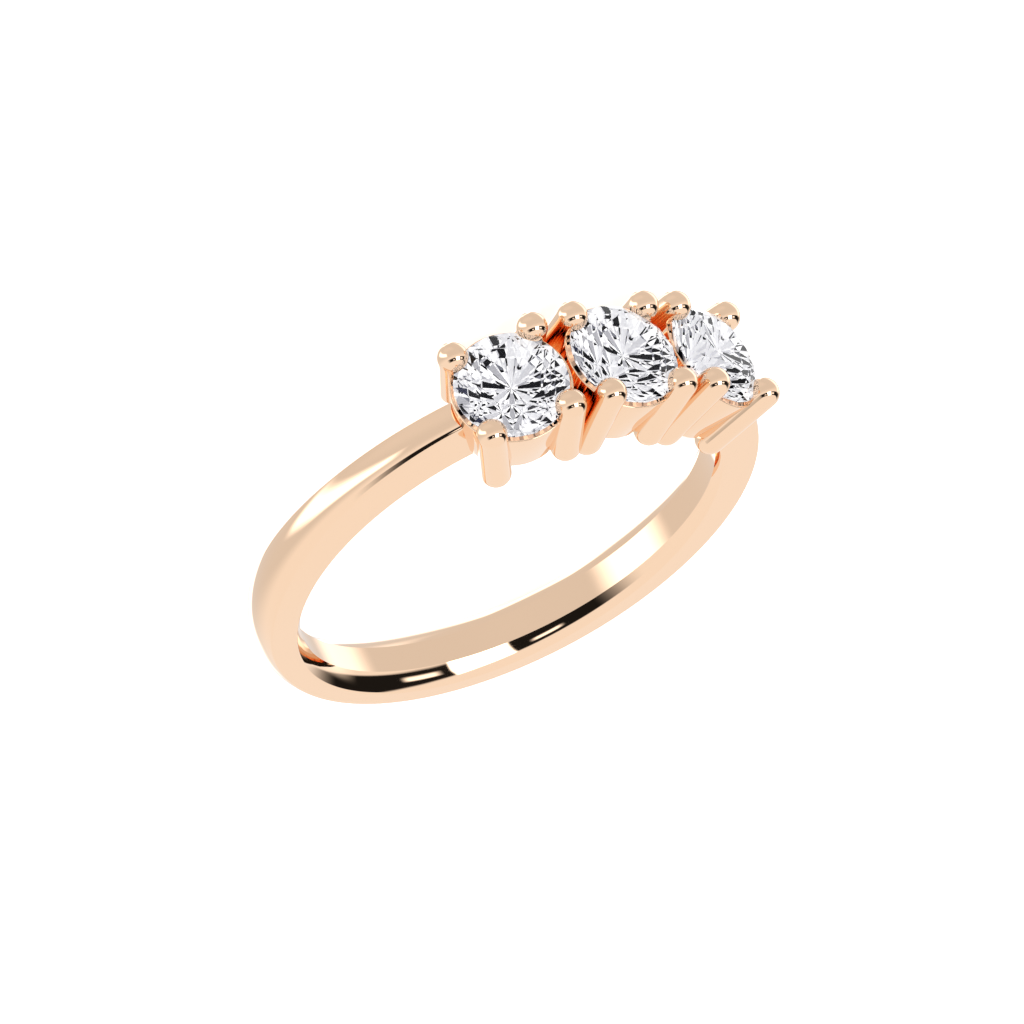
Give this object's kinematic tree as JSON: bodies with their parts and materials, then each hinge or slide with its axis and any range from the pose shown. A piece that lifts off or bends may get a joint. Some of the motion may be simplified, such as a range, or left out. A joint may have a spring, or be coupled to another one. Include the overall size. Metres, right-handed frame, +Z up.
{
  "type": "three stone ring",
  "caption": "Equal round brilliants side by side in pronged settings on a domed rose gold band that narrows towards them; lies on its side.",
  "frame": {"origin": "on the surface the ring lies on, under the middle of its outer box", "axes": "+Z up from the surface the ring lies on, the stones face -Y, +X to the right seen from the stones"},
  "size_m": [0.0204, 0.0222, 0.0051],
  "materials": {
    "rose_gold": "polished",
    "diamond": "polished"
  },
  "bodies": {
    "root": {"mounting": "rose_gold", "left_stone": "diamond", "centre_stone": "diamond", "right_stone": "diamond"}
  },
  "joints": []
}
